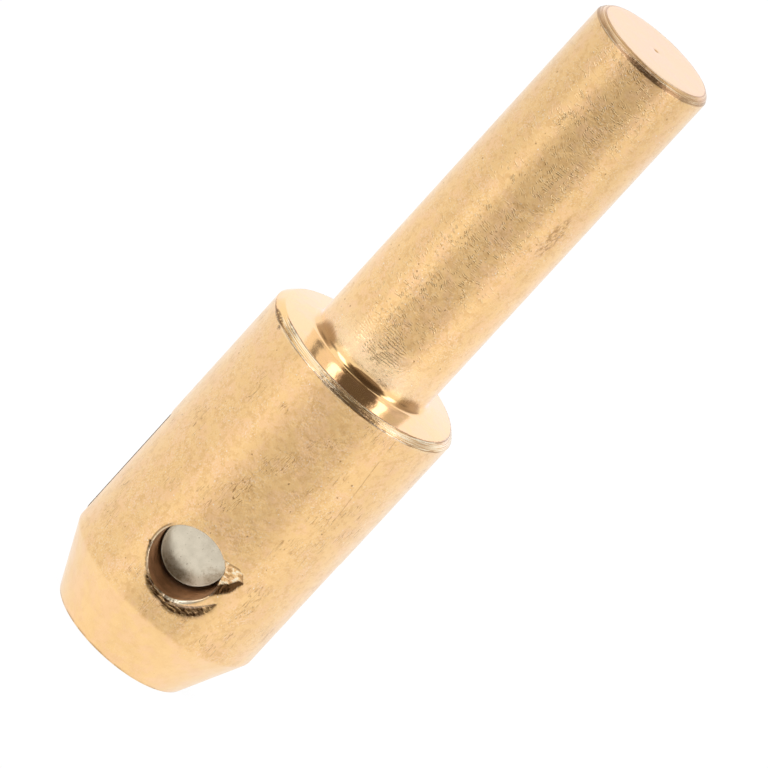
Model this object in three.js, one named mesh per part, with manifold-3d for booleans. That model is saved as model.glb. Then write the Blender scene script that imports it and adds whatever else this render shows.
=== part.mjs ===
// Plumb bob: a turned brass weight with a forked head and a captive steel cross pin.
// Millimetres, +Z up. The origin is the centre of the nose face, with the nose down and the stem up.
import * as THREE from "three";
import { mergeVertices } from "three/addons/utils/BufferGeometryUtils.js";
import Module from "manifold-3d";

const wasm = await Module();
wasm.setup();

// Turned body, measured along its axis from the nose face.
const LENGTH = 94;
const HEAD_RADIUS = 13;
const HEAD_LENGTH = 44.25;
const STEM_RADIUS = 8;
const NOSE_RADIUS = 9.3;
const NOSE_TAPER = 8.2;
const SHOULDER_BEVEL = 0.8;
const SHOULDER_RISE = 0.45;
const STEM_END_ROUND = 0.75;
const FILLET_RADIUS = 0.9;

// Lathe-centre dimple in the middle of the stem's end face.
const DIMPLE_RADIUS = 0.4;
const DIMPLE_DEPTH = 0.35;

// Slot sawn in from the nose, across the cross pin but a little off square to it.
const SLOT_WIDTH = 3.5;
const SLOT_DEPTH = 24.6;
const SLOT_TURN = THREE.MathUtils.degToRad(2.2);

// Cross hole along Y, and the loose pin that turns in it, lying on the stem side of the hole.
const HOLE_RADIUS = 4.4;
const HOLE_HEIGHT = 16.3;
const PIN_RADIUS = 4.1;
const PIN_OFFSET = new THREE.Vector3(-0.12, 0, 0.18);
const PIN_RECESS = 4.7;
const PIN_DOME = 0.5;
const PIN_EDGE_RADIUS = 0.25;

// Staking nick chiselled into the rim of each mouth of the hole, which keeps the pin in.
const NICK_WIDTH = 5;
const NICK_TIP_WIDTH = 1.6;
const NICK_REACH = 2.1;
const NICK_DEPTH = 1.5;
const NICK_ANGLE = THREE.MathUtils.degToRad(25);

const ROUND_SEGMENTS = 96;
const HOLE_SEGMENTS = 64;
const ARC_STEPS = 4;
const OVERCUT = 1;

function arcPoints(centreR, centreZ, radius, fromDeg, toDeg) {
  const points = [];
  for (let step = 0; step <= ARC_STEPS; step += 1) {
    const angle = THREE.MathUtils.degToRad(fromDeg + ((toDeg - fromDeg) * step) / ARC_STEPS);
    points.push(new THREE.Vector2(centreR + radius * Math.cos(angle), centreZ + radius * Math.sin(angle)));
  }
  return points;
}

function solidOf(geometry) {
  const bare = geometry.clone();
  bare.deleteAttribute("normal");
  bare.deleteAttribute("uv");
  const merged = mergeVertices(bare, 1e-4);
  return new wasm.Manifold(
    new wasm.Mesh({
      numProp: 3,
      vertProperties: merged.attributes.position.array,
      triVerts: new Uint32Array(merged.index.array),
    }),
  );
}

function geometryOf(solid) {
  const mesh = solid.getMesh();
  const geometry = new THREE.BufferGeometry();
  geometry.setAttribute("position", new THREE.BufferAttribute(mesh.vertProperties, 3));
  geometry.setIndex(new THREE.BufferAttribute(mesh.triVerts, 1));
  const flat = geometry.toNonIndexed();
  flat.computeVertexNormals();
  return flat;
}

// A profile in (radius, height), turned round the Z axis.
function turned(profile, segments) {
  return new THREE.LatheGeometry(profile, segments).rotateX(Math.PI / 2);
}

// Outline of the bar from the nose face, over the shoulder and up to the dimple in the stem's end.
function bodyProfile() {
  const filletFoot = HEAD_LENGTH + SHOULDER_RISE;
  return [
    new THREE.Vector2(0, 0),
    new THREE.Vector2(NOSE_RADIUS, 0),
    new THREE.Vector2(HEAD_RADIUS, NOSE_TAPER),
    new THREE.Vector2(HEAD_RADIUS, HEAD_LENGTH - SHOULDER_BEVEL),
    new THREE.Vector2(HEAD_RADIUS - SHOULDER_BEVEL, HEAD_LENGTH),
    ...arcPoints(STEM_RADIUS + FILLET_RADIUS, filletFoot + FILLET_RADIUS, FILLET_RADIUS, 270, 180),
    ...arcPoints(STEM_RADIUS - STEM_END_ROUND, LENGTH - STEM_END_ROUND, STEM_END_ROUND, 0, 90),
    new THREE.Vector2(DIMPLE_RADIUS, LENGTH),
    new THREE.Vector2(0, LENGTH - DIMPLE_DEPTH),
  ];
}

function slotCutter() {
  const height = SLOT_DEPTH + OVERCUT;
  const box = new THREE.BoxGeometry(2 * (HEAD_RADIUS + OVERCUT), SLOT_WIDTH, height);
  return solidOf(box.translate(0, 0, SLOT_DEPTH - height / 2).rotateZ(SLOT_TURN));
}

function crossHoleCutter() {
  const length = 2 * (HEAD_RADIUS + OVERCUT);
  const hole = new THREE.CylinderGeometry(HOLE_RADIUS, HOLE_RADIUS, length, HOLE_SEGMENTS);
  return solidOf(hole.translate(0, 0, HOLE_HEIGHT));
}

// A blunt wedge that bites into the rim of the hole's front mouth, with a flat floor square to the hole.
function nickCutter() {
  const outline = new THREE.Shape([
    new THREE.Vector2(0, NICK_WIDTH / 2),
    new THREE.Vector2(0, -NICK_WIDTH / 2),
    new THREE.Vector2(HOLE_RADIUS + NICK_REACH, -NICK_TIP_WIDTH / 2),
    new THREE.Vector2(HOLE_RADIUS + NICK_REACH, NICK_TIP_WIDTH / 2),
  ]);
  const prism = new THREE.ExtrudeGeometry(outline, { depth: NICK_DEPTH + OVERCUT, bevelEnabled: false });
  prism.rotateZ(NICK_ANGLE);
  prism.rotateX(Math.PI / 2);
  return prism.translate(0, NICK_DEPTH - HEAD_RADIUS, HOLE_HEIGHT);
}

function makeBody() {
  const blank = solidOf(turned(bodyProfile(), ROUND_SEGMENTS));
  const cut = blank
    .subtract(slotCutter())
    .subtract(crossHoleCutter())
    .subtract(solidOf(nickCutter()))
    .subtract(solidOf(nickCutter().rotateZ(Math.PI)));
  const brass = new THREE.MeshStandardMaterial({ color: 0xd9ae68, roughness: 0.34, metalness: 1 });
  const mesh = new THREE.Mesh(geometryOf(cut), brass);
  mesh.name = "bob_body";
  return mesh;
}

// Half of the pin's outline: a low domed end, a rounded edge and the straight side up to the middle.
function pinEnd(halfLength) {
  const edgeCentre = PIN_RADIUS - PIN_EDGE_RADIUS;
  const shoulder = halfLength - PIN_DOME;
  return [
    new THREE.Vector2(0, halfLength),
    new THREE.Vector2(edgeCentre * 0.5, halfLength - PIN_DOME * 0.2),
    ...arcPoints(edgeCentre, shoulder - PIN_EDGE_RADIUS, PIN_EDGE_RADIUS, 80, 0),
  ];
}

function makePin() {
  const halfLength = HEAD_RADIUS - PIN_RECESS;
  const top = pinEnd(halfLength);
  const bottom = top.map((point) => new THREE.Vector2(point.x, -point.y));
  const steel = new THREE.MeshStandardMaterial({ color: 0xb9b3a4, roughness: 0.38, metalness: 1 });
  const geometry = new THREE.LatheGeometry([...bottom, ...top.reverse()], HOLE_SEGMENTS);
  const mesh = new THREE.Mesh(geometry, steel);
  mesh.name = "cross_pin";
  mesh.position.set(0, 0, HOLE_HEIGHT).add(PIN_OFFSET);
  return mesh;
}

const plumbBob = new THREE.Group();
plumbBob.add(makeBody(), makePin());

export default plumbBob;
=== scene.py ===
"""Looks of the plumb bob: a fine turned-brass body and a steel cross pin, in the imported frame."""
import math
from types import SimpleNamespace

import bmesh
import bpy
import numpy as np
from mathutils import Matrix, Vector, noise


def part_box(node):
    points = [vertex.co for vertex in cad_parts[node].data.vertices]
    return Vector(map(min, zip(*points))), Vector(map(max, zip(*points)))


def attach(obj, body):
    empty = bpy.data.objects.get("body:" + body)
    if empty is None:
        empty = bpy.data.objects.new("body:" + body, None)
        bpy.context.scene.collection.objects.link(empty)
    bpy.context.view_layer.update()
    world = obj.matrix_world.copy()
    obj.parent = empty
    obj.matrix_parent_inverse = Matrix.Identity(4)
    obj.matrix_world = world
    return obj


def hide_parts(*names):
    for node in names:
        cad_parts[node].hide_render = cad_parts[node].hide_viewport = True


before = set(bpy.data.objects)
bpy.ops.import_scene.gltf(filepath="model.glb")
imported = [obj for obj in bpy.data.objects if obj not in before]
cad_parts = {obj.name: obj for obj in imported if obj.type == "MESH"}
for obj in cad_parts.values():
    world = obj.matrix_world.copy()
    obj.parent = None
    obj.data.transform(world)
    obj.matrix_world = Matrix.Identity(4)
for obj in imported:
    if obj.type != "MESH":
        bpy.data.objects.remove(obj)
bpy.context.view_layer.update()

MM = 0.001
DEGREES = 180.0 / math.pi

# -------------------- driving sizes, in millimetres
BODY_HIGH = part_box("bob_body")[1]
PIN_LOW, PIN_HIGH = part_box("cross_pin")
HEAD_R = BODY_HIGH.x / MM
LENGTH = BODY_HIGH.z / MM
NOSE_R = 9.3
NOSE_TAPER = 8.2
SHOULDER_Z = 44.25
SHOULDER_BEVEL = 0.8
SHOULDER_RISE = 0.45
STEM_R = 8.0
STEM_ROUND = 0.75
FILLET_R = 0.9
END_DROP = 0.80
DIMPLE_R = 0.3
DIMPLE_DEPTH = 0.25
SLOT_WIDTH = 3.5
SLOT_DEPTH = 24.6
SLOT_TURN = math.radians(2.2)
HOLE_R = 4.4
HOLE_Z = 16.3
PIN_R = (PIN_HIGH.z - PIN_LOW.z) / 2 / MM
PIN_HALF = (PIN_HIGH.y - PIN_LOW.y) / 2 / MM
PIN_CENTRE = (PIN_LOW + PIN_HIGH) / 2 / MM
PIN_DOME = 0.16
CHAMFER = 0.20

# -------------------- mesh resolution
PATCH_HALF = 7.4
PATCH_CELLS = 90
SIDE_CELLS = 50
RING_COUNT = 36
PIN_COLUMNS = 256


def smooth(edge0, edge1, value):
    """Hermite step from 0 at edge0 to 1 at edge1, on arrays."""
    t = np.clip((value - edge0) / (edge1 - edge0), 0.0, 1.0)
    return t * t * (3.0 - 2.0 * t)


def rough(points, scale, seed):
    """Perlin noise in -1..1 at each (x, y, z) point in millimetres, for features about 1/scale wide."""
    shift = Vector((seed * 7.31, seed * 3.17, seed * 5.03))
    return np.array([noise.noise(Vector(p) * scale + shift) for p in points])


def rough_flat(u, v, scale, seed):
    """The same noise at (u, v) on a flat face."""
    return rough(np.stack((u, v, np.zeros_like(u)), axis=1), scale, seed)


# -------------------- profile of the turned bar
def rounded(corners):
    """Polyline through (r, z, ease) corners, each corner eased by a short curve that long on each side."""
    line = []
    count = len(corners)
    for i, (r, z, ease) in enumerate(corners):
        here = np.array((r, z))
        if ease == 0 or i in (0, count - 1):
            line.append(here)
            continue
        before = np.array(corners[i - 1][:2]) - here
        after = np.array(corners[i + 1][:2]) - here
        before *= ease / np.linalg.norm(before)
        after *= ease / np.linalg.norm(after)
        for u in np.linspace(0.0, 1.0, 4):
            line.append(here + before * (1 - u) ** 2 + after * u ** 2)
    return line


def divided(line, step):
    """The polyline with every stretch longer than step cut into equal parts."""
    points = [line[0]]
    for a, b in zip(line, line[1:]):
        parts = max(1, math.ceil(np.linalg.norm(b - a) / step))
        points += [a + (b - a) * k / parts for k in range(1, parts + 1)]
    return points


def fillet(steps=7):
    """Concave quarter round between the shoulder and the stem."""
    centre = np.array((STEM_R + FILLET_R, SHOULDER_Z + SHOULDER_RISE + FILLET_R))
    angles = np.radians(np.linspace(270, 180, steps))
    return [centre + FILLET_R * np.array((math.cos(a), math.sin(a))) for a in angles]


def lower_profile(low_row):
    """From the centre of the nose face up the taper to the first row of the hole patches."""
    corners = [(0, 0, 0), (NOSE_R, 0, 0.1), (HEAD_R, NOSE_TAPER, 0.25), (HEAD_R, low_row, 0)]
    return divided(rounded(corners), 0.8)


def upper_profile(high_row):
    """From the last row of the hole patches over the shoulder and stem to the dimple in the stem's end."""
    bevel_low = SHOULDER_Z - SHOULDER_BEVEL
    bevel_in = HEAD_R - SHOULDER_BEVEL
    head = divided([np.array((HEAD_R, high_row)), np.array((HEAD_R, bevel_low - 0.15))], 0.55)
    land = fillet()
    shoulder = rounded([
        (HEAD_R, bevel_low - 0.15, 0),
        (HEAD_R, bevel_low, 0.07),
        (HEAD_R - 0.36, bevel_low + 0.40, 0.05),
        (bevel_in, SHOULDER_Z, 0.05),
        (land[0][0], land[0][1], 0),
    ])
    stem = rounded([
        (land[-1][0], land[-1][1], 0),
        (STEM_R, LENGTH - END_DROP, 0.15),
        (STEM_R - 0.26, LENGTH - 0.38, 0.12),
        (STEM_R - STEM_ROUND, LENGTH, 0.05),
        (DIMPLE_R, LENGTH, 0.03),
        (0, LENGTH - DIMPLE_DEPTH, 0),
    ])
    return head[:-1] + divided(shoulder, 0.22)[:-1] + land[:-1] + divided(stem, 0.8)


# -------------------- staking round the cross hole
def hump(degrees, middle, width):
    """Bell curve of an angle, 1 at its middle."""
    return np.exp(-((degrees - middle) / width) ** 2)


def rim_radius(theta):
    """Radius of the bruised rim at each angle: pushed in by the chisel marks, spread on the far side."""
    degrees = np.degrees(theta)
    spread = 0.22 * (hump(degrees, 165, 45) + hump(degrees, -195, 45))
    pushed = 0.24 * hump(degrees, -48, 22) + 0.30 * hump(degrees, 12, 16)
    return HOLE_R + spread - pushed


def chamfer_width(theta):
    """Width of the deburred edge at each angle: widest low on the mouth, where the rim was dressed."""
    return CHAMFER * (0.85 + 1.25 * hump(np.degrees(theta), -57, 27))


def gouge(u, v, edges, deepest):
    """Depth of a chisel cut bounded by sloping walls; each edge is (start, end, slope), cut on its left."""
    depth = np.full(u.shape, deepest)
    for start, end, slope in edges:
        along = np.subtract(end, start) / np.linalg.norm(np.subtract(end, start))
        inside = along[0] * (v - start[1]) - along[1] * (u - start[0])
        depth = np.minimum(depth, slope * inside)
    return np.maximum(depth, 0.0)


def crescent(u, v, first, last, inner, width, deepest):
    """Depth of a curved mark round the hole between two angles in degrees, deepest at its inner edge."""
    degrees = np.degrees(np.arctan2(v, u))
    radius = np.hypot(u, v)
    share = np.clip((degrees - first) / (last - first), 0.0, 1.0)
    envelope = np.sin(np.pi * share) ** 0.6
    across = (inner + width * envelope - radius) / np.maximum(width * envelope, 1e-3)
    falling = np.clip(across, 0.0, 1.0)
    rising = np.clip(1.0 - (across - 1.0) / 0.45, 0.0, 1.0)
    return deepest * envelope * np.where(across < 1.0, falling, rising)


NICK_EDGES = (
    ((4.32, -1.12), (5.84, 0.68), 0.80),
    ((5.84, 0.68), (6.27, 2.45), 0.85),
    ((6.27, 2.45), (5.50, 3.37), 0.70),
    ((5.50, 3.37), (4.76, 3.74), 0.45),
    ((4.76, 3.74), (2.30, 3.55), 0.26),
    ((2.30, 3.55), (4.32, -1.12), 4.0),
)
PIT_EDGES = (
    ((-5.10, -0.95), (-4.20, -2.00), 0.9),
    ((-4.20, -2.00), (-4.25, -0.35), 0.9),
    ((-4.25, -0.35), (-5.10, -0.95), 0.9),
)


def nick_depth(u, v):
    """Depth of the V-shaped cut that breaks the rim; its upper edge has a small torn step."""
    depth = gouge(u, v, NICK_EDGES, 0.72)
    return depth + 0.05 * smooth(0.0, 0.04, depth)


def crescent_depths(u, v):
    """Depths of the long curved mark below the hole and of the short one against its rim."""
    degrees = np.degrees(np.arctan2(v, u))
    inner = 5.15 + 0.011 * np.clip(degrees + 60, 0, 60)
    outer = crescent(u, v, -86, -12, inner, 1.1, 0.42)
    near = crescent(u, v, -130, -60, 4.62, 0.75, 0.34)
    return outer, near


def staking(u, v):
    """How far the head is sunk at (u, v) millimetres from the hole's axis; raised where negative."""
    grain = rough_flat(u, v, 2.6, 1)
    fine = rough_flat(u, v, 7.0, 2)
    strokes = rough_flat(0.3 * u, v, 3.4, 5)
    shaken_u = u + 0.07 * grain
    shaken_v = v + 0.07 * fine
    radius = np.hypot(u, v)
    degrees = np.degrees(np.arctan2(v, u))
    nick = nick_depth(shaken_u, shaken_v)
    pit = gouge(u, v, PIT_EDGES, 0.4)
    outer, near = crescent_depths(shaken_u, shaken_v)
    lip = 0.26 * hump(degrees, -108, 30) * smooth(4.72, 4.48, radius)
    bulge = 0.16 * hump(degrees, -45, 26) * smooth(5.3, 4.7, radius)
    marks = np.maximum.reduce((nick, pit, outer, near))
    torn = smooth(0.02, 0.2, marks) * (0.06 * fine + 0.06 * grain)
    torn = torn + smooth(0.02, 0.2, np.maximum(outer, near)) * 0.10 * strokes
    return marks + torn - (lip + bulge) * smooth(0.25, 0.0, nick)


def staking_looks(u, v):
    """Shares, 0 to 1, of darkening, of torn metal and of the dressed edge's painted highlight at (u, v)
    from the hole's axis.
    """
    grain = rough_flat(u, v, 2.6, 1)
    strokes = rough_flat(0.3 * u, v, 5.0, 6)
    shaken_u = u + 0.07 * grain
    theta = np.arctan2(v, u)
    degrees = np.degrees(theta)
    from_rim = np.hypot(u, v) - rim_radius(theta)
    nick = nick_depth(shaken_u, v)
    lower_wall = gouge(shaken_u, v, NICK_EDGES[:2], 2.0)
    wall = smooth(0.02, 0.10, nick) * smooth(0.12, 0.04, lower_wall - nick)
    outer, near = crescent_depths(shaken_u, v)
    dents = smooth(0.0, 0.12, np.maximum(outer, near)) * (0.85 + 0.6 * strokes)
    pit = smooth(0.0, 0.12, gouge(u, v, PIT_EDGES, 0.4))
    far = degrees % 360
    beyond = from_rim - chamfer_width(theta)
    outline = smooth(0.16, 0.06, np.abs(beyond - 0.10)) * smooth(140, 160, far) * smooth(250, 225, far)
    edge = smooth(0.0, 0.04, nick) * smooth(0.16, 0.08, nick)
    # Darker marks: the dents, the nick's lower wall, the pit and lines round the rim
    darkening = np.maximum.reduce((wall, dents, 0.8 * pit, 0.65 * outline, 0.5 * edge))
    torn = smooth(0.0, 0.1, nick) * (1.0 - wall)
    low_right = hump(degrees, -56, 30)
    left = 0.5 * smooth(150, 165, far) * smooth(245, 225, far)
    # Painted highlight on the dressed edge of the mouth, low on the right and on the left
    rim_highlight = smooth(-0.03, 0.03, from_rim) * smooth(0.08, 0.0, beyond) * np.maximum(low_right, left)
    return np.clip(darkening, 0.0, 1.0), torn, rim_highlight


# -------------------- body mesh
def azimuth_columns():
    """Column azimuths round the bar, 0 at the front, starting at the front patch's left edge."""
    half = math.asin(PATCH_HALF / HEAD_R)
    front = np.linspace(-half, half, PATCH_CELLS + 1)
    right = np.linspace(half, math.pi - half, SIDE_CELLS + 1)[1:]
    back = np.linspace(math.pi - half, math.pi + half, PATCH_CELLS + 1)[1:]
    left = np.linspace(math.pi + half, 2 * math.pi - half, SIDE_CELLS + 1)[1:-1]
    return np.concatenate((front, right, back, left))


class MeshParts:
    """Growing lists of vertices and faces for one mesh."""

    def __init__(self):
        self.points = []
        self.faces = []

    def add(self, points):
        first = sum(len(p) for p in self.points)
        self.points.append(np.asarray(points, float))
        return np.arange(first, first + len(points))

    def bridge(self, ring_a, ring_b):
        for k in range(len(ring_a)):
            nxt = (k + 1) % len(ring_a)
            self.faces.append((ring_a[k], ring_a[nxt], ring_b[nxt], ring_b[k]))

    def fan(self, ring, tip):
        for k in range(len(ring)):
            self.faces.append((ring[k], ring[(k + 1) % len(ring)], tip))

    def build(self, name):
        points = np.concatenate(self.points) * MM
        used = sorted({i for face in self.faces for i in face})
        renumber = {old: new for new, old in enumerate(used)}
        mesh = bpy.data.meshes.new(name)
        faces = [tuple(renumber[i] for i in face) for face in self.faces]
        mesh.from_pydata(points[used].tolist(), [], faces)
        cleaned = bmesh.new()
        cleaned.from_mesh(mesh)
        bmesh.ops.recalc_face_normals(cleaned, faces=cleaned.faces)
        cleaned.to_mesh(mesh)
        cleaned.free()
        made = bpy.data.objects.new(name, mesh)
        bpy.context.scene.collection.objects.link(made)
        return made


def perimeter_cells(row0, row1, col0, col1):
    """(row, column) pairs round a patch of the grid, anticlockwise from its lower left corner."""
    cols = np.linspace(col0, col1, PATCH_CELLS + 1).round().astype(int)
    rows = np.linspace(row0, row1, PATCH_CELLS + 1).round().astype(int)
    bottom = [(row0, c) for c in cols[:-1]]
    right = [(r, col1) for r in rows[:-1]]
    top = [(row1, c) for c in cols[:0:-1]]
    left = [(r, col0) for r in rows[:0:-1]]
    return bottom + right + top + left


def hole_rings(side, edge_u, edge_v):
    """Rings of points from just inside the patch's edge to the rim; side is -1 in front, 1 behind."""
    theta = np.arctan2(edge_v, edge_u)
    mark_theta = np.arctan2(edge_v, -side * edge_u)
    chamfer = chamfer_width(mark_theta)
    outer = rim_radius(mark_theta) + chamfer
    rings = []
    for k in range(1, RING_COUNT + 1):
        share = (1 - k / RING_COUNT) ** 1.2
        u = (1 - share) * outer * np.cos(theta) + share * edge_u
        v = (1 - share) * outer * np.sin(theta) + share * edge_v
        sunk = staking(-side * u, v) * smooth(0.0, 0.25, 1 - share)
        surface = np.sqrt(HEAD_R ** 2 - u ** 2) - sunk
        rings.append(np.stack((u, side * surface, v + HOLE_Z), axis=1))
    last = rings[-1]
    for turn in (30, 60, 90):
        inward = chamfer * math.sin(math.radians(turn))
        down = chamfer * (1 - math.cos(math.radians(turn)))
        ring = last.copy()
        ring[:, 0] -= inward * np.cos(theta)
        ring[:, 2] -= inward * np.sin(theta)
        ring[:, 1] -= side * down
        rings.append(ring)
    return rings


def wall_rings(front_rim, back_rim):
    """Rings down the hole's wall: the bruised rims ease into the drilled radius within 1.6 mm."""
    theta = np.arctan2(front_rim[:, 2] - HOLE_Z, front_rim[:, 0])
    drilled = np.stack((HOLE_R * np.cos(theta), HOLE_Z + HOLE_R * np.sin(theta)), axis=1)
    rings = []
    for rim, sign in ((front_rim, 1), (back_rim, -1)):
        made = []
        for depth in (0.25, 0.6, 1.0, 1.6, 4.0):
            share = smooth(0.0, 1.6, depth)
            ring = rim.copy()
            ring[:, 0] = (1 - share) * rim[:, 0] + share * drilled[:, 0]
            ring[:, 2] = (1 - share) * rim[:, 2] + share * drilled[:, 1]
            ring[:, 1] += sign * depth
            made.append(ring)
        rings += made if sign > 0 else made[::-1]
    return rings


def wear(points):
    """Small bruises on the turned edges: the shoulder's bevel and the stem's end bevel."""
    radius = np.hypot(points[:, 0], points[:, 1])
    height = points[:, 2]
    at_shoulder = smooth(SHOULDER_Z - 1.1, SHOULDER_Z - 0.7, height)
    at_shoulder *= smooth(HEAD_R - 1.1, HEAD_R - 0.6, radius)
    at_shoulder *= smooth(SHOULDER_Z + 0.3, SHOULDER_Z + 0.05, height)
    at_end = smooth(LENGTH - 1.0, LENGTH - 0.6, height) * smooth(STEM_R - 1.0, STEM_R - 0.6, radius)
    chosen = np.where(at_shoulder + at_end > 0)[0]
    bumps = 0.35 * rough(points[chosen], 0.9, 3) + 0.5 * rough(points[chosen], 3.0, 4)
    amount = 0.03 * bumps * (at_shoulder + at_end)[chosen]
    moved = points.copy()
    moved[chosen, 0] -= np.maximum(amount, -0.01) * points[chosen, 0] / radius[chosen]
    moved[chosen, 1] -= np.maximum(amount, -0.01) * points[chosen, 1] / radius[chosen]
    moved[chosen, 2] -= np.maximum(amount, -0.01)
    return moved


def bar_profile(low_row, high_row):
    """(r, z) points from the nose to the stem's end, and how many come before the hole patches."""
    lower = lower_profile(low_row)
    middle = [np.array((HEAD_R, z)) for z in np.linspace(low_row, high_row, PATCH_CELLS + 1)]
    return lower[:-1] + middle + upper_profile(high_row)[1:], len(lower) - 1


def bar_faces(parts, grid, patch_rows, patches):
    """Adds the faces between the rings of the grid, except where the hole patches go."""
    rows, count = grid.shape
    for row in range(rows - 1):
        in_rows = patch_rows[0] <= row < patch_rows[1]
        for col in range(count):
            if in_rows and any(left <= col < right for left, right in patches):
                continue
            nxt = (col + 1) % count
            parts.faces.append((grid[row, col], grid[row, nxt], grid[row + 1, nxt], grid[row + 1, col]))


def add_rings(parts, before, rings):
    """Adds rings of points, each joined to the one before it, and returns the vertices of the last."""
    for ring in rings:
        here = parts.add(ring)
        parts.bridge(before, here)
        before = here
    return before


def cross_hole(parts, grid, points, patch_rows, patches):
    """Fills both patches with rings round the hole's mouths, and joins the mouths by the hole's wall."""
    rims = []
    for side, (left, right) in ((-1, patches[0]), (1, patches[1][::-1])):
        outline = np.array([grid[cell] for cell in perimeter_cells(*patch_rows, left, right)])
        edge = points[outline]
        rings = hole_rings(side, edge[:, 0], edge[:, 2] - HOLE_Z)
        rims.append((add_rings(parts, outline, rings), rings[-1]))
    (front, front_rim), (back, back_rim) = rims
    parts.bridge(add_rings(parts, front, wall_rings(front_rim, back_rim)), back)


def turned_body():
    """The whole bar as one closed mesh with its cross hole, before the slot is sawn."""
    parts = MeshParts()
    columns = azimuth_columns()
    profile, before_patch = bar_profile(HOLE_Z - PATCH_HALF, HOLE_Z + PATCH_HALF)
    rings = profile[1:-1]
    points = wear(np.array([(r * math.sin(a), -r * math.cos(a), z) for r, z in rings for a in columns]))
    grid = parts.add(points).reshape(len(rings), len(columns))
    patch_rows = (before_patch - 1, before_patch - 1 + PATCH_CELLS)
    half_turn = PATCH_CELLS + SIDE_CELLS
    patches = ((0, PATCH_CELLS), (half_turn, half_turn + PATCH_CELLS))
    bar_faces(parts, grid, patch_rows, patches)
    for ring, (_, z) in ((grid[0], profile[0]), (grid[-1], profile[-1])):
        parts.fan(ring, parts.add([(0, 0, z)])[0])
    cross_hole(parts, grid, points, patch_rows, patches)
    return parts.build("turned_brass_body")


def prism(name, outline, axis, start, end):
    """Closed prism with a 2-D outline, drawn in the two other axes in X, Y, Z order, along axis."""
    parts = MeshParts()
    others = [i for i in range(3) if i != axis]
    rings = []
    for place in (start, end):
        points = np.zeros((len(outline), 3))
        points[:, others] = outline
        points[:, axis] = place
        rings.append(parts.add(points))
    parts.bridge(*rings)
    parts.faces += [tuple(rings[0]), tuple(rings[1][::-1])]
    return parts.build(name)


def slot_cutters():
    """The saw cut, and three prisms that break its edges at the nose and on both sides of the head."""
    half = SLOT_WIDTH / 2
    reach = HEAD_R + 1.0
    corner = 0.25
    flare = 0.14
    saw = [(-half, -1), (half, -1), (half, SLOT_DEPTH - corner), (half - corner, SLOT_DEPTH),
           (corner - half, SLOT_DEPTH), (-half, SLOT_DEPTH - corner)]
    mouth = [(-half - flare - 0.4, -0.4), (half + flare + 0.4, -0.4), (0, half + flare)]
    edge = math.sqrt(HEAD_R ** 2 - half ** 2)
    side = [(edge - half - flare, 0), (edge + 0.6, half + flare + 0.6), (edge + 0.6, -half - flare - 0.6)]
    made = [
        prism("saw_cut", saw, 0, -reach, reach),
        prism("mouth_break", mouth, 0, -reach, reach),
        prism("right_break", side, 2, -1, SLOT_DEPTH - 0.1),
        prism("left_break", [(-x, y) for x, y in side], 2, -1, SLOT_DEPTH - 0.1),
    ]
    for cutter in made:
        cutter.data.transform(Matrix.Rotation(SLOT_TURN, 4, "Z"))
    return made


def carve(target, cutters):
    """Subtracts the cutters from the target's mesh and removes them."""
    for cutter in cutters:
        cut = target.modifiers.new("cut", "BOOLEAN")
        cut.operation = "DIFFERENCE"
        cut.solver = "MANIFOLD"
        cut.object = cutter
    depsgraph = bpy.context.evaluated_depsgraph_get()
    mesh = bpy.data.meshes.new_from_object(target.evaluated_get(depsgraph), depsgraph=depsgraph)
    target.modifiers.clear()
    target.data = mesh
    for cutter in cutters:
        bpy.data.objects.remove(cutter, do_unlink=True)


def paint_faces(obj, materials, choose):
    """Gives obj the materials and each face the index that choose(centre_mm, normal) returns."""
    obj.data.materials.clear()
    for material in materials:
        obj.data.materials.append(material)
    for face in obj.data.polygons:
        face.material_index = choose(face.center / MM, face.normal)
        face.use_smooth = True
    obj.data.set_sharp_from_angle(angle=math.radians(38))


def mark_staking(obj):
    """Stores the staking's looks as point attributes; those behind are the front's turned half round."""
    places = np.empty(len(obj.data.vertices) * 3)
    obj.data.vertices.foreach_get("co", places)
    x, y, z = (places / MM).reshape(-1, 3).T
    u = np.where(y < 0, x, -x)
    v = z - HOLE_Z
    depth = np.sqrt(np.maximum(HEAD_R ** 2 - x ** 2, 0)) - np.abs(y)
    near = (np.hypot(u, v) < PATCH_HALF) & (depth < 1.3)
    for name, share in zip(("bruise", "torn", "rim_highlight"), staking_looks(u[near], v[near])):
        values = np.zeros(len(x))
        values[near] = share
        layer = obj.data.attributes.new(name, "FLOAT", "POINT")
        layer.data.foreach_set("value", values)


def body_surface(centre, normal):
    """0 on turned faces, 1 in the drilled hole, 2 on the sawn slot."""
    inside = math.hypot(centre.x, centre.y) < HEAD_R - 0.7
    from_hole = math.hypot(centre.x, centre.z - HOLE_Z)
    across = abs(centre.y * math.cos(SLOT_TURN) - centre.x * math.sin(SLOT_TURN))
    outward = (centre.x * normal.x + centre.y * normal.y) / max(math.hypot(centre.x, centre.y), 0.1)
    below = centre.z < SLOT_DEPTH
    if below and across < SLOT_WIDTH / 2 + 0.15 and abs(centre.x) > 8 and abs(outward) < 0.9:
        return 2
    if below and across < SLOT_WIDTH / 2 + 0.01 and abs(normal.y) > 0.9:
        return 2
    if inside and across < SLOT_WIDTH / 2 and centre.z > SLOT_DEPTH - 1 and normal.z < -0.3:
        return 2
    if from_hole < HOLE_R + 0.5 and abs(normal.y) < 0.5 and abs(centre.z - HOLE_Z) < HOLE_R + 0.5:
        return 1
    return 0


# -------------------- cross pin mesh
def pin_profile():
    """(radius, height) outline of half the pin: nearly flat face, eased edge and straight side."""
    edge = 0.22
    face_r = PIN_R - edge
    points = [(face_r * t, PIN_HALF - PIN_DOME * t ** 2) for t in np.linspace(0, 1, 15)]
    foot = PIN_HALF - PIN_DOME - edge
    for angle in np.radians((78, 64, 48, 32, 16, 0)):
        points.append((face_r + edge * math.cos(angle), foot + edge * math.sin(angle)))
    return points + [(PIN_R, foot * 0.5)]


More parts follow.
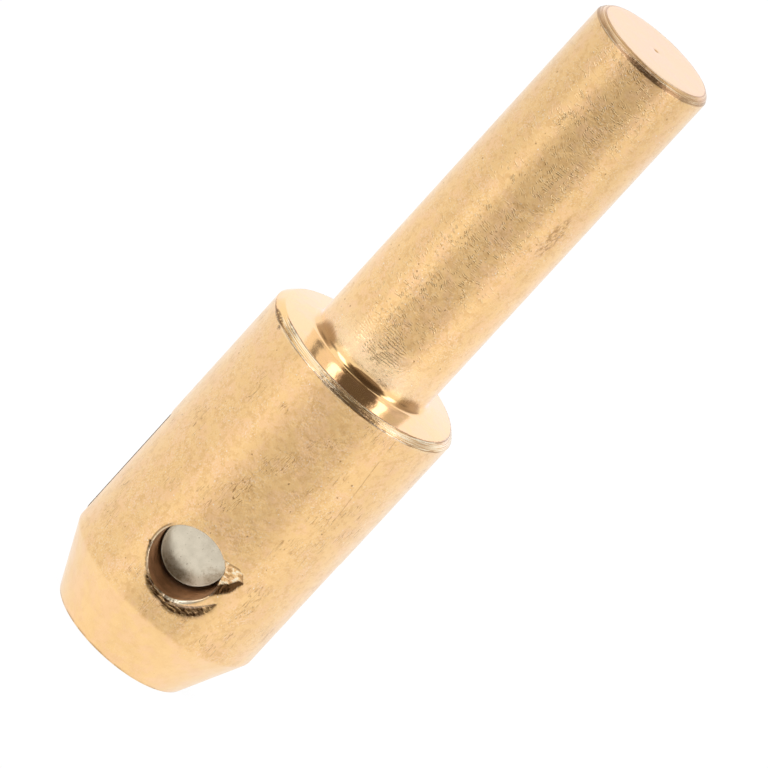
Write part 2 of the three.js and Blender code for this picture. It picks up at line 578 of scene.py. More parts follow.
def cross_pin():
    """The loose steel pin, turned about the Y axis through its own centre."""
    parts = MeshParts()
    half = pin_profile()
    outline = [(r, -h) for r, h in half[1:]] + [(r, h) for r, h in half[:0:-1]]
    angles = np.linspace(0, 2 * math.pi, PIN_COLUMNS, endpoint=False)
    rings = []
    for r, h in outline:
        rings.append(parts.add([(r * math.cos(a), h, r * math.sin(a)) for a in angles]))
    for a, b in zip(rings, rings[1:]):
        parts.bridge(a, b)
    low, high = parts.add([(0, -PIN_HALF, 0), (0, PIN_HALF, 0)])
    parts.fan(rings[0], low)
    parts.fan(rings[-1], high)
    made = parts.build("steel_cross_pin")
    made.location = PIN_CENTRE * MM
    return made


# -------------------- node trees
class Graph:
    """Short calls for building a shader or world node tree."""

    def __init__(self, tree):
        self.tree = tree
        tree.nodes.clear()

    def put(self, socket, value):
        if isinstance(value, bpy.types.NodeSocket):
            self.tree.links.new(value, socket)
        else:
            socket.default_value = value

    def node(self, kind, inputs=None, **settings):
        made = self.tree.nodes.new(kind)
        for key, value in settings.items():
            setattr(made, key, value)
        for key, value in (inputs or {}).items():
            self.put(made.inputs[key], value)
        return made

    def math(self, operation, a, b=0.0):
        return self.node("ShaderNodeMath", {0: a, 1: b}, operation=operation).outputs[0]

    def fold(self, operation, values):
        total = values[0]
        for value in values[1:]:
            total = self.math(operation, total, value)
        return total

    def plus(self, *values):
        return self.fold("ADD", values)

    def times(self, *values):
        return self.fold("MULTIPLY", values)

    def most(self, *values):
        return self.fold("MAXIMUM", values)

    def minus(self, a, b):
        return self.math("SUBTRACT", a, b)

    def size(self, value):
        return self.math("ABSOLUTE", value)

    def away(self, a, b):
        return self.size(self.minus(a, b))

    def hypot(self, a, b):
        return self.math("SQRT", self.plus(self.times(a, a), self.times(b, b)))

    def step(self, value, low, high, out_low=0.0, out_high=1.0):
        """Smooth step of value from low to high."""
        inputs = {"Value": value, "From Min": low, "From Max": high, "To Min": out_low, "To Max": out_high}
        return self.node("ShaderNodeMapRange", inputs, interpolation_type="SMOOTHSTEP").outputs[0]

    def rise(self, length, low, high, out_low=0.0, out_high=1.0):
        """Smooth step of a length in metres from low to high, both in millimetres."""
        return self.step(length, low * MM, high * MM, out_low, out_high)

    def mix(self, factor, a, b, blend_type="MIX"):
        made = self.node("ShaderNodeMix", {0: factor, 6: a, 7: b}, data_type="RGBA", blend_type=blend_type)
        return made.outputs[2]

    def blend(self, factor, a, b):
        made = self.node("ShaderNodeMix", {0: factor, 2: a, 3: b}, data_type="FLOAT")
        return made.outputs[0]

    def noise(self, vector, scale, detail=2.0, roughness=0.5):
        inputs = {"Vector": vector, "Scale": scale, "Detail": detail, "Roughness": roughness}
        return self.node("ShaderNodeTexNoise", inputs).outputs[0]

    def attribute(self, name):
        return self.node("ShaderNodeAttribute", attribute_name=name).outputs["Fac"]

    def split(self, vector):
        return self.node("ShaderNodeSeparateXYZ", {0: vector}).outputs

    def coordinates(self, kind):
        place = self.node("ShaderNodeTexCoord").outputs[kind]
        return place, *self.split(place)

    def join(self, x, y, z=0.0):
        return self.node("ShaderNodeCombineXYZ", {0: x, 1: y, 2: z}).outputs[0]

    def grey(self, level):
        return self.node("ShaderNodeCombineColor", {0: level, 1: level, 2: level}).outputs[0]

    def bump(self, height, distance, normal=None):
        made = self.node("ShaderNodeBump", {"Height": height, "Distance": distance, "Strength": 1.0})
        if normal is not None:
            self.put(made.inputs["Normal"], normal)
        return made.outputs[0]


def new_material(name):
    material = bpy.data.materials.new(name)
    material.use_nodes = True
    return material, Graph(material.node_tree)


def finish_metal(g, color, roughness, normal, axis, anisotropy):
    """Metal whose grooves run round an axis, so that highlights streak across them."""
    tangent = g.node("ShaderNodeTangent", direction_type="RADIAL", axis=axis).outputs[0]
    inputs = {
        "Base Color": color,
        "Metallic": 1.0,
        "Roughness": roughness,
        "Anisotropic": anisotropy,
        "Anisotropic Rotation": 0.25,
        "Tangent": tangent,
        "Normal": normal,
    }
    surface = g.node("ShaderNodeBsdfPrincipled", inputs)
    g.node("ShaderNodeOutputMaterial", {"Surface": surface.outputs[0]})


# -------------------- turned brass
BRASS_GOLD = (0.965, 0.638, 0.295, 1)
BRASS_PINK = (0.965, 0.625, 0.325, 1)
BRASS_OLIVE = (0.870, 0.550, 0.245, 1)
BRASS_DULL = (0.770, 0.445, 0.170, 1)
BRASS_FOOT_SHEEN = (1.0, 0.83, 0.66, 1)
BRASS_RIDGE_HIGHLIGHT = (1.0, 0.76, 0.42, 1)
BRASS_PALE_AND_HIGHLIGHT = (1.0, 0.95, 0.86, 1)
BRASS_PAINTED_HIGHLIGHT = (1.0, 0.89, 0.66, 1)
BRASS_PAINTED_REFLECTION = (0.95, 0.85, 0.76, 1)
BRASS_WORN = (0.66, 0.44, 0.265, 1)
BRASS_STAIN_AND_SHADE = (0.40, 0.205, 0.075, 1)
BRASS_DARK_BROWN = (0.115, 0.055, 0.020, 1)
HEAD_SCRATCHES = (-1.2 * MM, -12.95 * MM, 26.6 * MM)
STEM_SCUFF = (5.6 * MM, -5.7 * MM, 71.7 * MM)
STROKE_STRETCH = 1.4
STROKE_LEAN = -0.25
BEVEL_LOW = SHOULDER_Z - SHOULDER_BEVEL
FILLET_TOP = SHOULDER_Z + SHOULDER_RISE + FILLET_R
END_LOW = LENGTH - END_DROP


def brass_zones(g):
    """The shader's coordinates, and shares, 0 to 1, of the parts of the bar that look different."""
    place, x, y, z = g.coordinates("Object")
    azimuth = g.math("ARCTAN2", x, g.times(y, -1.0))
    radius = g.hypot(x, y)
    on_end = g.rise(z, END_LOW - 0.10, END_LOW + 0.04)
    on_stem = g.times(g.rise(z, FILLET_TOP, FILLET_TOP + 1.0), g.rise(z, END_LOW + 0.04, END_LOW - 0.10))
    on_head = g.rise(z, BEVEL_LOW + 0.15, BEVEL_LOW - 0.45)
    faced = g.minus(1.0, g.most(on_stem, on_head))
    satin = g.minus(1.0, g.times(faced, 0.85))
    quiet = g.times(satin, g.rise(z, NOSE_TAPER - 0.6, NOSE_TAPER + 0.4, 0.30, 1.0))
    fronted = g.away(azimuth, -0.02)
    return SimpleNamespace(
        place=place, axes=(x, y, z), x=x, y=y, z=z, azimuth=azimuth, radius=radius,
        on_end=on_end, on_stem=on_stem, on_head=on_head, faced=faced, satin=satin, quiet=quiet,
        patchy=g.times(g.step(g.noise(place, 300.0, 2.0), 0.40, 0.62, 0.35, 1.0), quiet),
        fronted=fronted,
        foot=g.times(on_stem, g.step(fronted, 1.3, 0.5, 0.2, 1.0)),
        end_edge=g.times(on_end, g.rise(radius, 7.12, 7.20)),
        not_left=g.most(g.step(azimuth, -1.08, -0.90), g.step(azimuth, -1.7, -2.2)),
        direct=g.node("ShaderNodeLightPath").outputs["Is Camera Ray"],
    )


def clean_brass(g, at):
    """Mottled colour of clean metal, paler and pinker at the stem's foot as a painted sheen, most in front,
    worn on the end's edge and the bevel.
    """
    grain = g.noise(at.place, 5200.0, 2.0, 0.6)
    blotch = g.step(g.noise(at.place, 1300.0, 3.0, 0.6), 0.46, 0.68)
    color = g.mix(g.step(g.noise(at.place, 420.0, 3.0, 0.6), 0.44, 0.60), BRASS_GOLD, BRASS_PINK)
    color = g.mix(g.times(blotch, at.quiet), color, BRASS_OLIVE)
    color = g.mix(g.times(g.step(grain, 0.50, 0.68, 0.0, 0.34), at.patchy), color, BRASS_DULL)
    color = g.mix(g.times(g.step(grain, 0.46, 0.32, 0.0, 0.28), at.patchy), color, BRASS_PALE_AND_HIGHLIGHT)
    # Painted sheen: paler, pinker colour at the front of the stem's foot
    color = g.mix(g.times(at.foot, g.rise(at.z, 52.0, 46.5, 0.0, 0.30)), color, BRASS_FOOT_SHEEN)
    end_wear = g.times(at.end_edge, g.rise(at.z, LENGTH - 0.50, LENGTH - 0.15, 0.80, 0.30))
    color = g.mix(end_wear, color, BRASS_WORN)
    right = g.times(g.step(at.azimuth, 0.55, 1.0), g.step(at.azimuth, 2.6, 1.7))
    return g.mix(g.times(at.faced, g.rise(at.radius, 12.1, 12.3), right, 0.6), color, BRASS_WORN)


def pits_and_glints(g, at):
    """Dark pits and painted glints (bright specks), most of them too small to show."""
    crowd = g.step(g.noise(at.place, 230.0, 2.0), 0.44, 0.60, 0.80, 1.0)
    pits = g.times(pit_marks(g, at.place, 1900.0, crowd), at.quiet)
    crowd = g.step(g.noise(at.place, 350.0, 2.0), 0.42, 0.60, 0.84, 1.0)
    glints = pit_marks(g, g.join(at.z, at.x, at.y), 2700.0, crowd)
    return pits, g.times(glints, at.quiet, g.minus(1.0, pits))


def stem_strokes(g, at):
    """Short cuts across the stem and the ridges beside them, thickest in front and few at the foot."""
    around = g.times(at.azimuth, STEM_R * MM)
    strokes, ridges = stroke_marks(g, around, at.z, 0.50 * MM, 0.26 * MM, 0.45, 0.55)
    for more in (stroke_marks(g, around, at.z, 0.80 * MM, 0.42 * MM, 0.55, 0.50),
                 stroke_marks(g, at.z, around, 0.90 * MM, 0.30 * MM, 0.9, 0.18)):
        strokes = g.most(strokes, more[0])
        ridges = g.most(ridges, more[1])
    zone = g.times(g.step(g.noise(at.place, 330.0, 2.0), 0.40, 0.58, 0.30, 1.0), at.on_stem)
    zone = g.times(zone, g.step(at.fronted, 0.90, 0.45, 0.25, 1.0), g.rise(at.z, 48.0, 53.5, 0.15, 1.0))
    return g.times(strokes, zone), g.times(ridges, zone)


def chatter_comb(g, at):
    """Chatter marks above the shoulder and the ridges between them."""
    waved = g.plus(at.z, g.times(g.noise(at.place, 700.0, 2.0), 0.7 * MM))
    wave = g.math("SINE", g.times(waved, 2 * math.pi / (0.35 * MM)))
    zone = side_spot(g, at, -0.15, 49.7, 0.52, 2.9)
    zone = g.times(zone, g.step(g.noise(at.place, 1600.0, 1.0), 0.40, 0.52))
    cuts = g.step(wave, 0.1, 0.9, 0.0, 0.7)
    return g.times(cuts, zone), g.times(g.step(wave, -0.2, -0.9, 0.0, 0.7), zone)


def head_scratches(g, at):
    """Scratches along the head: loose ones, a cluster of deeper ones above the hole and one long one."""
    scratches = line_marks(g, at.axes, (3300.0, 3300.0, 420.0), 0.022)
    zone = g.step(g.noise(at.place, 260.0, 1.0), 0.56, 0.66, 0.0, 0.8)
    zone = g.most(zone, spot(g, at.axes, HEAD_SCRATCHES, (1.4 * MM, 3.0 * MM, 3.4 * MM)))
    scratches = g.times(scratches, zone, at.on_head, g.rise(at.z, NOSE_TAPER, NOSE_TAPER + 0.8))
    track = g.plus(1.018, g.times(at.z, -8.53), g.times(g.noise(at.place, 300.0, 1.0), 0.02))
    long_one = g.step(g.away(at.azimuth, track), 0.008, 0.003)
    broken = g.step(g.noise(at.place, 500.0, 2.0), 0.38, 0.55)
    return g.most(scratches, g.times(long_one, broken, at.on_head, g.rise(at.z, 22.0, 26.0), 0.5))


def stem_scuff(g, at):
    """Rubbed patch on the right of the stem."""
    rubbed = g.noise(scaled(g, at.axes, (3000.0, 3000.0, 1300.0)), 1.0, 3.0, 0.7)
    return g.times(spot(g, at.axes, STEM_SCUFF, (1.1 * MM, 1.1 * MM, 3.6 * MM)), g.step(rubbed, 0.46, 0.58))


def edge_burrs(g, at):
    """Ragged dark lines along both edges of the shoulder's bevel and of the stem's end."""
    ragged = g.times(g.minus(g.noise(at.place, 1500.0, 3.0, 0.7), 0.5), 0.30 * MM)
    finer = g.times(ragged, 0.7)
    lower = g.rise(g.size(g.plus(at.z, (0.02 - BEVEL_LOW) * MM, ragged)), 0.14, 0.05)
    lower = g.times(lower, g.step(g.size(at.azimuth), 1.45, 1.20, 0.25, 1.0))
    upper = g.size(g.plus(at.radius, -12.22 * MM, ragged))
    upper = g.rise(g.plus(upper, g.times(g.rise(at.z, 44.0, 43.8), MM)), 0.14, 0.05)
    end_low = g.rise(g.size(g.plus(at.z, (0.62 - LENGTH) * MM, finer)), 0.26, 0.06, 0.0, 0.75)
    end_high = g.rise(g.size(g.plus(at.radius, -7.22 * MM, finer)), 0.14, 0.04, 0.0, 0.6)
    burrs = g.most(lower, g.times(upper, at.not_left), end_low, g.times(end_high, at.on_end))
    return g.times(burrs, g.step(g.noise(at.place, 800.0, 2.0), 0.30, 0.46, 0.3, 1.0))


def edge_streaks(g, at):
    """Streaks round the bevel and the end's edge: dark ones, bright ones painted as highlights, and their
    relief.
    """
    down = g.minus(at.z, at.radius)
    streaks = g.noise(scaled(g, (at.x, at.y, down), (160.0, 160.0, 9000.0)), 1.0, 2.0, 0.7)
    on_bevel = g.times(at.faced, g.rise(down, 32.2, 32.0), at.not_left)
    near_front = g.step(g.size(at.azimuth), 1.45, 1.10, 0.12, 0.50)
    dark = g.most(g.times(g.step(streaks, 0.54, 0.64), on_bevel, near_front),
                  g.times(g.step(streaks, 0.46, 0.60), at.end_edge, 0.60))
    streak_highlights = g.most(g.times(g.step(streaks, 0.50, 0.42), on_bevel, 0.9),
                       g.times(g.step(streaks, 0.44, 0.36), at.end_edge, 0.7))
    return dark, streak_highlights, g.times(streaks, g.most(on_bevel, at.end_edge))


def bevel_chips(g, at):
    """Chips along the bevel's lower edge on the left, and fainter ones along its upper edge."""
    chips = g.most(side_spot(g, at, -1.04, BEVEL_LOW, 0.17, 0.36),
                   side_spot(g, at, -0.915, BEVEL_LOW - 0.5, 0.036, 0.34),
                   g.times(side_spot(g, at, -0.82, SHOULDER_Z - 0.1, 0.13, 0.24), 0.45))
    broken = g.step(g.noise(at.place, 2400.0, 2.0), 0.40, 0.52, 0.25, 1.0)
    return g.times(chips, broken, g.rise(at.radius, 12.0, 12.2))


def nose_line(g, at):
    """Broken dark line round the edge of the nose face."""
    return g.times(g.rise(at.z, 0.40, 0.10), g.step(g.noise(at.place, 900.0, 3.0), 0.40, 0.60, 0.2, 0.6))


def fillet_shade(g, at):
    """Painted shade above the fillet on both sides of the front, fading up the stem, and a little in front.
    """
    left = side_spot(g, at, -0.84, FILLET_TOP - 0.6, 0.38, 2.3, 0.0)
    right = side_spot(g, at, 0.94, FILLET_TOP - 0.6, 0.40, 1.7, 0.0)
    front = side_spot(g, at, 0.12, FILLET_TOP - 0.2, 0.34, 0.6)
    spots = g.most(front, g.times(g.most(left, right), g.rise(at.radius, 8.48, 8.32)))
    hatch = g.noise(scaled(g, at.axes, (5200.0, 5200.0, 1100.0)), 1.0, 2.0, 0.6)
    frayed = g.plus(spots, g.times(g.minus(hatch, 0.5), 0.6))
    darkening = g.times(g.step(frayed, 0.12, 0.90, 0.0, 0.85), g.rise(at.radius, 8.88, 8.80))
    return g.times(darkening, g.step(spots, 0.0, 0.15))


def staked(g, at, color):
    """The colour with the staking's darker marks, painted highlight and shade on the crushed metal and
    painted highlights on the dressed edges, and the relief of that metal.
    """
    bruised = g.attribute("bruise")
    torn = g.attribute("torn")
    crushed = g.noise(scaled(g, at.axes, (1250.0, 1250.0, 1700.0)), 1.0, 3.0, 0.65)
    fleck = g.noise(scaled(g, at.axes, (1500.0, 1500.0, 4400.0)), 1.0, 2.0, 0.6)
    fleck = g.times(g.step(fleck, 0.52, 0.64, 0.0, 0.75), g.rise(at.z, 15.6, 15.0))
    color = g.mix(g.times(bruised, g.minus(1.0, fleck)), color, BRASS_DARK_BROWN)
    # Painted highlight and painted shade on the torn metal, following the crushed relief
    color = g.mix(g.times(torn, g.step(crushed, 0.50, 0.40, 0.0, 0.9)), color, BRASS_PAINTED_HIGHLIGHT)
    color = g.mix(g.times(torn, g.step(crushed, 0.51, 0.59, 0.0, 0.75)), color, BRASS_STAIN_AND_SHADE)
    # Painted highlight on the dressed edge of the hole's mouth
    color = g.mix(g.attribute("rim_highlight"), color, BRASS_PAINTED_HIGHLIGHT)
    return color, g.times(crushed, g.most(torn, bruised))


def turned_brass():
    """Satin turned brass: mottled colour, pits and scratches on the head, short strokes across the stem."""
    material, g = new_material("turned_brass")
    at = brass_zones(g)
    color = clean_brass(g, at)
    pits, glints = pits_and_glints(g, at)
    strokes, thrown_up = stem_strokes(g, at)
    comb, between = chatter_comb(g, at)
    ridges = g.most(thrown_up, between)
    scratches = head_scratches(g, at)
    scuff = stem_scuff(g, at)
    burrs = edge_burrs(g, at)
    dark_streaks, streak_highlights, streak_relief = edge_streaks(g, at)
    dimple = g.times(spot(g, (at.x, at.y), (0.0, 0.0), (0.5 * MM, 0.4 * MM)), at.on_end)
    marks = ((pits, 0.58), (scratches, 0.75), (strokes, 0.28), (comb, 0.14), (burrs, 0.9), (scuff, 0.55),
             (dimple, 0.45))
    darkening = g.most(*(g.times(mark, share) for mark, share in marks))
    darkening = g.most(darkening, dark_streaks, nose_line(g, at), fillet_shade(g, at))

    # Painted highlight on the ridges beside the cuts and between the chatter marks
    color = g.mix(g.times(ridges, 0.75), color, BRASS_RIDGE_HIGHLIGHT)
    # Painted glints: bright specks in a pale colour
    color = g.mix(g.times(glints, 0.60), color, BRASS_PALE_AND_HIGHLIGHT)
    # Stains and dirt, with painted shade above the fillet
    color = g.mix(darkening, color, BRASS_STAIN_AND_SHADE)
    # Painted highlights: bright streaks round the bevel and the end's edge
    color = g.mix(streak_highlights, color, BRASS_PAINTED_HIGHLIGHT)
    # Painted shade: darker up the stem and on the head, a little lighter at the foot
    shade = g.plus(g.rise(at.z, 50.0, 92.0, 1.02, 0.90), g.times(at.on_head, -0.045),
                   g.times(g.rise(at.z, 53.0, 48.0), at.foot, 0.03))
    color = g.mix(1.0, color, g.grey(shade), blend_type="MULTIPLY")
    color = g.mix(g.times(bevel_chips(g, at), 0.72), color, BRASS_DARK_BROWN)
    color, crushed_relief = staked(g, at, color)
    # Painted sheen: the colour turns paler towards grazing view
    facing = g.node("ShaderNodeLayerWeight", {"Blend": 0.5}).outputs["Facing"]
    color = g.mix(g.times(g.math("POWER", facing, 2.8), at.satin, 0.5), color, BRASS_PALE_AND_HIGHLIGHT)
    # Painted reflection: brass seen in another face, not by the camera, takes a paler colour
    color = g.mix(at.direct, BRASS_PAINTED_REFLECTION, color)

    cuts = g.plus(g.times(pits, 3.0), g.times(strokes, 2.0), g.times(comb, 1.5), g.times(scratches, 1.6),
                  g.times(scuff, 1.5), burrs, g.times(ridges, -2.3))
    normal = g.bump(g.times(g.noise(at.place, 520.0, 2.0, 0.5), at.satin), 0.050 * MM)
    normal = g.bump(g.times(g.noise(at.place, 2600.0, 2.0, 0.6), at.patchy), 0.048 * MM, normal)
    normal = g.bump(streak_relief, 0.030 * MM, normal)
    normal = g.bump(crushed_relief, 0.110 * MM, normal)
    normal = g.bump(g.times(cuts, -1.0), 0.010 * MM, normal)
    roughness = g.step(g.noise(at.place, 700.0, 3.0), 0.3, 0.7, 0.33, 0.42)
    roughness = g.minus(roughness, g.times(at.foot, g.rise(at.z, 52.5, 47.0, 0.0, 0.15)))
    roughness = g.blend(at.faced, roughness, g.plus(0.10, g.times(at.end_edge, 0.12)))
    roughness = g.blend(at.direct, 0.15, g.plus(roughness, g.times(darkening, 0.2)))
    finish_metal(g, color, roughness, normal, "Z", 0.6)
    return material


def pit_marks(g, place, scale, crowd):
    """Round pits of random size in the cells of a jittered grid, 1 inside; more where crowd nears 1."""
    cells = g.node("ShaderNodeTexVoronoi", {"Vector": place, "Scale": scale}, feature="F1")
    chance = g.node("ShaderNodeTexWhiteNoise", {"Vector": cells.outputs["Position"]}).outputs[0]
    reach = g.times(g.step(g.times(chance, crowd), 0.76, 1.0), 0.34)
    inside = g.step(cells.outputs["Distance"], reach, g.times(reach, 0.4))
    return g.times(inside, g.step(reach, 0.03, 0.08))


def stroke_marks(g, along, across, spacing, half_length, lean, share):
    """Short straight cuts and the ridges beside them: at most one pair in each cell, at random angles."""
    length = STROKE_STRETCH * spacing
    place = g.join(g.math("DIVIDE", along, length), g.math("DIVIDE", across, spacing))
    cells = g.node("ShaderNodeTexVoronoi", {"Vector": place, "Scale": 1.0, "Randomness": 0.85},
                   voronoi_dimensions="2D", feature="F1")
    here = g.split(place)
    centre = g.split(cells.outputs["Position"])
    chance = g.node("ShaderNodeSeparateColor", {0: cells.outputs["Color"]}).outputs
    dx = g.times(g.minus(here[0], centre[0]), length)
    dy = g.times(g.minus(here[1], centre[1]), spacing)
    angle = g.plus(g.times(g.minus(chance[1], 0.5), 2 * lean), STROKE_LEAN)
    cosine, sine = g.math("COSINE", angle), g.math("SINE", angle)
    lengthwise = g.plus(g.times(dx, cosine), g.times(dy, sine))
    crosswise = g.minus(g.times(dy, cosine), g.times(dx, sine))
    reach = g.times(g.plus(chance[2], 0.35), half_length)
    long = g.step(g.size(lengthwise), reach, g.times(reach, 0.5))
    long = g.times(long, g.step(chance[0], share + 0.03, share - 0.03))
    cut = g.rise(g.size(crosswise), 0.08, 0.02)
    ridge = g.rise(g.away(crosswise, 0.12 * MM), 0.08, 0.02)
    return g.times(long, cut), g.times(long, ridge)


def spot(g, coordinates, centre, sizes, core=0.35):
    """Soft ellipsoid, 1 inside its core and 0 beyond the sizes."""
    total = 0.0
    for here, middle, size in zip(coordinates, centre, sizes):
        away = g.math("DIVIDE", g.minus(here, middle), size)
        total = g.plus(total, g.times(away, away))
    return g.step(total, 1.0, core)


def side_spot(g, at, bearing, height, half_angle, half_height, core=0.35):
    """Soft spot on the bar's side, its angles in radians and its heights in millimetres."""
    return spot(g, (at.azimuth, at.z), (bearing, height * MM), (half_angle, half_height * MM), core)


def scaled(g, coordinates, scales):
    """Vector of the coordinates, each multiplied by its scale."""
    return g.join(*(g.times(c, k) for c, k in zip(coordinates, scales)))


def line_marks(g, coordinates, scales, width):
    """Thin wavy lines, 1 on the line: the middle contour of a noise stretched by the scales."""
    value = g.noise(scaled(g, coordinates, scales), 1.0, 1.0, 0.5)
    from_middle = g.away(value, 0.5)
    return g.step(from_middle, width, width * 0.3)


def drilled_brass():
    """Browner, rougher wall of the cross hole with drill rings along its axis; the brown is painted shade
    of the hole, paler as a painted reflection.
    """
    material, g = new_material("drilled_brass")
    place, x, y, z = g.coordinates("Object")
    rings = g.noise(scaled(g, (x, y, z), (300.0, 5000.0, 300.0)), 1.0, 2.0, 0.6)
    tarnish = g.noise(place, 600.0, 3.0, 0.6)
    # Painted shade: the wall's darker browns stand in for the shade inside the hole
    color = g.mix(g.step(tarnish, 0.35, 0.65), (0.70, 0.385, 0.19, 1), (0.50, 0.255, 0.115, 1))
    direct = g.node("ShaderNodeLightPath").outputs["Is Camera Ray"]
    # Painted reflection: seen in another face, the wall takes a paler colour
    color = g.mix(direct, (0.80, 0.74, 0.65, 1), color)
    normal = g.bump(rings, 0.012 * MM)
    finish_metal(g, color, 0.50, normal, "Y", 0.4)
    return material


def sawn_brass():
    """Slot faces: parallel saw lines on duller brass."""
    material, g = new_material("sawn_brass")
    place, x, y, z = g.coordinates("Object")
    bowed = g.plus(z, g.times(g.times(x, x), 6.0))
    lines = g.noise(scaled(g, (x, bowed), (120.0, 5200.0)), 1.0, 2.0, 0.7)
    tarnish = g.noise(place, 500.0, 3.0, 0.6)
    color = g.mix(g.step(tarnish, 0.35, 0.65), (0.78, 0.53, 0.27, 1), (0.62, 0.40, 0.21, 1))
    radius = g.hypot(x, y)
    # Darker near the bar's outside
    edge_darkening = g.times(g.rise(radius, HEAD_R - 0.55, HEAD_R - 0.28), g.step(tarnish, 0.2, 0.5, 0.75, 1.0))
    color = g.mix(edge_darkening, color, BRASS_DARK_BROWN)
    normal = g.bump(lines, 0.022 * MM)
    finish_metal(g, color, 0.38, normal, "Y", 0.0)
    return material


def faced_steel():
    """Satin nickel-grey steel with facing rings on the ends, specks and a few fine marks; painted
    reflection of the hole's wall near the low edge, painted highlight on the eased edge and side.
    """
    material, g = new_material("pin_steel")
    place, x, y, z = g.coordinates("Object")
    radius = g.hypot(x, z)
    rings = g.noise(scaled(g, (radius, y), (9000.0, 6000.0)), 1.0, 2.0, 0.6)
    cloud = g.noise(place, 700.0, 3.0, 0.55)
    speck = g.step(g.noise(place, 4200.0, 1.0), 0.70, 0.76)
    color = g.mix(g.step(cloud, 0.35, 0.7), (0.69, 0.615, 0.485, 1), (0.63, 0.56, 0.44, 1))
    bearing = g.times(g.math("ARCTAN2", z, x), DEGREES)
    low_side = g.times(g.step(bearing, -150, -120), g.step(bearing, -46, -62))
    right_side = g.times(g.step(bearing, -36, -28), g.step(bearing, 12, -2, 0.0, 0.8))
    # Painted reflection: warm dark patches near the end's low edge stand in for the hole's wall seen in it
    wall_reflection_side = g.times(g.most(low_side, right_side), g.rise(radius, 1.0, 3.6))
    mottled = g.times(g.step(g.noise(place, 2300.0, 2.0, 0.7), 0.40, 0.62, 0.30, 1.0), wall_reflection_side)
    color = g.mix(g.times(mottled, 0.75), color, (0.36, 0.265, 0.175, 1))
    color = g.mix(g.times(speck, 0.6), color, (0.22, 0.17, 0.12, 1))
    # Painted highlight: the eased edge and the side take a pale colour
    edge = g.rise(radius, PIN_R - 0.24, PIN_R - 0.12)
    color = g.mix(edge, color, (0.95, 0.88, 0.76, 1))
    normal = g.bump(rings, 0.003 * MM)
    normal = g.bump(cloud, 0.020 * MM, normal)
    roughness = g.step(cloud, 0.3, 0.7, 0.15, 0.21)
    finish_metal(g, color, roughness, normal, "Y", 0.6)
    return material


# -------------------- stage: floor, studio light and camera
WHITE = (1, 1, 1, 1)
FLOOR_REACH = 3.0
FLOOR_Z = -0.05 * MM
FLOOR_GLOW = 1.06
SEEN_LEVEL = 1.05
OPENING_LEVEL = 0.12
CHEEK_LEVEL = 2.4
SEAM_LEVEL = 0.37
LEFT_SEAM_LEVEL = 0.32
RIGHT_SEAM_LEVEL = 0.60
LEFT_LEVEL = 0.98
BACK_LEVEL = 1.17
CAMERA_PLACE = Vector((-0.07, -722.9, 282.9)) * MM
CAMERA_AIM = Vector((2.72, 0.0, 43.82)) * MM
CAMERA_ROLL = math.radians(42.55)
CAMERA_LENS = 315.0


def pale_floor():
    """Plain near-white floor just under the nose face; it glows a little so that shadows stay faint."""
    material, g = new_material("studio_floor")
    matt = g.node("ShaderNodeBsdfDiffuse", {"Color": (0.9, 0.9, 0.9, 1)})
    glow = g.node("ShaderNodeEmission", {"Color": WHITE, "Strength": FLOOR_GLOW})
    both = g.node("ShaderNodeMixShader", {0: 0.90, 1: matt.outputs[0], 2: glow.outputs[0]})
    g.node("ShaderNodeOutputMaterial", {"Surface": both.outputs[0]})
    mesh = bpy.data.meshes.new("studio_floor")
    corners = [(-1, -1), (1, -1), (1, 1), (-1, 1)]
    mesh.from_pydata([(x * FLOOR_REACH, y * FLOOR_REACH, FLOOR_Z) for x, y in corners], [], [(0, 1, 2, 3)])
    mesh.materials.append(material)
    floor = bpy.data.objects.new("studio_floor", mesh)
    bpy.context.scene.collection.objects.link(floor)
    floor.visible_glossy = False


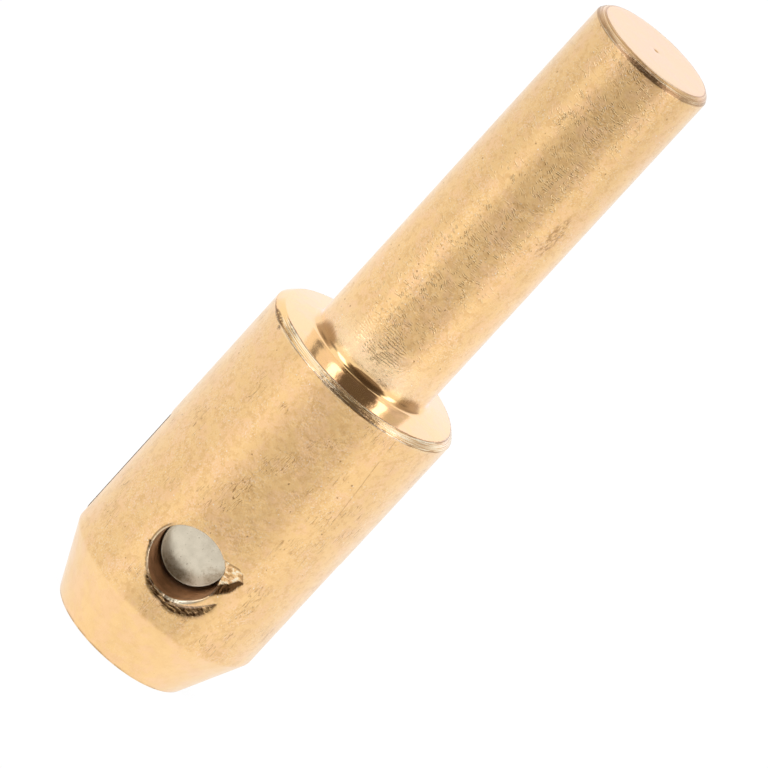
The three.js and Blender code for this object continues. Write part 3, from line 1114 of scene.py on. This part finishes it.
def studio_light():
    """White tent with a dark opening in front, bright cheeks either side of it and greyer seams beyond."""
    world = bpy.data.worlds.new("studio")
    world.use_nodes = True
    bpy.context.scene.world = world
    g = Graph(world.node_tree)
    _, x, y, z = g.coordinates("Generated")
    azimuth = g.times(g.math("ARCTAN2", x, g.times(y, -1.0)), DEGREES)
    elevation = g.times(g.math("ARCSINE", z), DEGREES)
    turned = g.away(azimuth, g.plus(12.0, g.times(elevation, 0.09)))
    behind = g.size(azimuth)

    def window(value, low, high, soft):
        return g.times(g.step(value, low - soft, low + soft), g.step(value, high + soft, high - soft))

    def patch(bearing, bearings, elevations, soft):
        return g.times(window(bearing, *bearings, soft), window(elevation, *elevations, soft))

    left_dim = g.times(window(azimuth, -140, -62, 16), window(elevation, -36, 0, 7))
    cheek = patch(turned, (46, 66), (8, 50), 4)
    seam = patch(turned, (68, 90), (-2, 22), 6)
    left_seam = patch(azimuth, (-112, -88), (24, 44), 5)
    right_seam = patch(azimuth, (88, 150), (26, 42), 10)
    back_light = patch(behind, (150, 200), (4, 70), 8)
    overhang = g.plus(g.step(elevation, 0, 30, 36, 41), g.step(elevation, 44, 82, 0, 48))
    opening = g.times(g.step(g.minus(turned, overhang), 5, -5), window(elevation, -8, 86, 5))
    level = g.step(elevation, -28, -60, 1.05, 1.15)
    for share, strength in ((left_dim, LEFT_LEVEL), (cheek, CHEEK_LEVEL), (seam, SEAM_LEVEL),
                            (left_seam, LEFT_SEAM_LEVEL), (right_seam, RIGHT_SEAM_LEVEL),
                            (back_light, BACK_LEVEL), (opening, OPENING_LEVEL)):
        level = g.blend(share, level, strength)
    tint = g.mix(g.most(back_light, cheek), WHITE, (0.99, 0.99, 1.13, 1))
    tint = g.mix(opening, tint, (1.12, 0.95, 0.80, 1))
    light = g.node("ShaderNodeBackground", {"Color": tint, "Strength": level})
    plain = g.node("ShaderNodeBackground", {"Color": WHITE, "Strength": SEEN_LEVEL})
    seen = g.node("ShaderNodeLightPath").outputs["Is Camera Ray"]
    both = g.node("ShaderNodeMixShader", {0: seen, 1: light.outputs[0], 2: plain.outputs[0]})
    g.node("ShaderNodeOutputWorld", {"Surface": both.outputs[0]})


def photo_camera():
    """Long lens above the horizon, rolled so that the bob lies from lower left to upper right."""
    data = bpy.data.cameras.new("photo_camera")
    data.sensor_width = 36.0
    data.lens = CAMERA_LENS
    data.clip_end = 20.0
    camera = bpy.data.objects.new("photo_camera", data)
    bpy.context.scene.collection.objects.link(camera)
    level = (CAMERA_AIM - CAMERA_PLACE).to_track_quat("-Z", "Y").to_matrix().to_4x4()
    camera.matrix_world = level @ Matrix.Rotation(CAMERA_ROLL, 4, "Z")
    camera.location = CAMERA_PLACE
    bpy.context.scene.camera = camera


def build():
    body = turned_body()
    carve(body, slot_cutters())
    paint_faces(body, (turned_brass(), drilled_brass(), sawn_brass()), body_surface)
    mark_staking(body)
    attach(body, "bob")
    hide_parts("bob_body")

    pin = cross_pin()
    paint_faces(pin, (faced_steel(),), lambda centre, normal: 0)
    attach(pin, "pin")
    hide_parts("cross_pin")


build()
pale_floor()
studio_light()
photo_camera()
bpy.context.scene.view_settings.view_transform = "Standard"
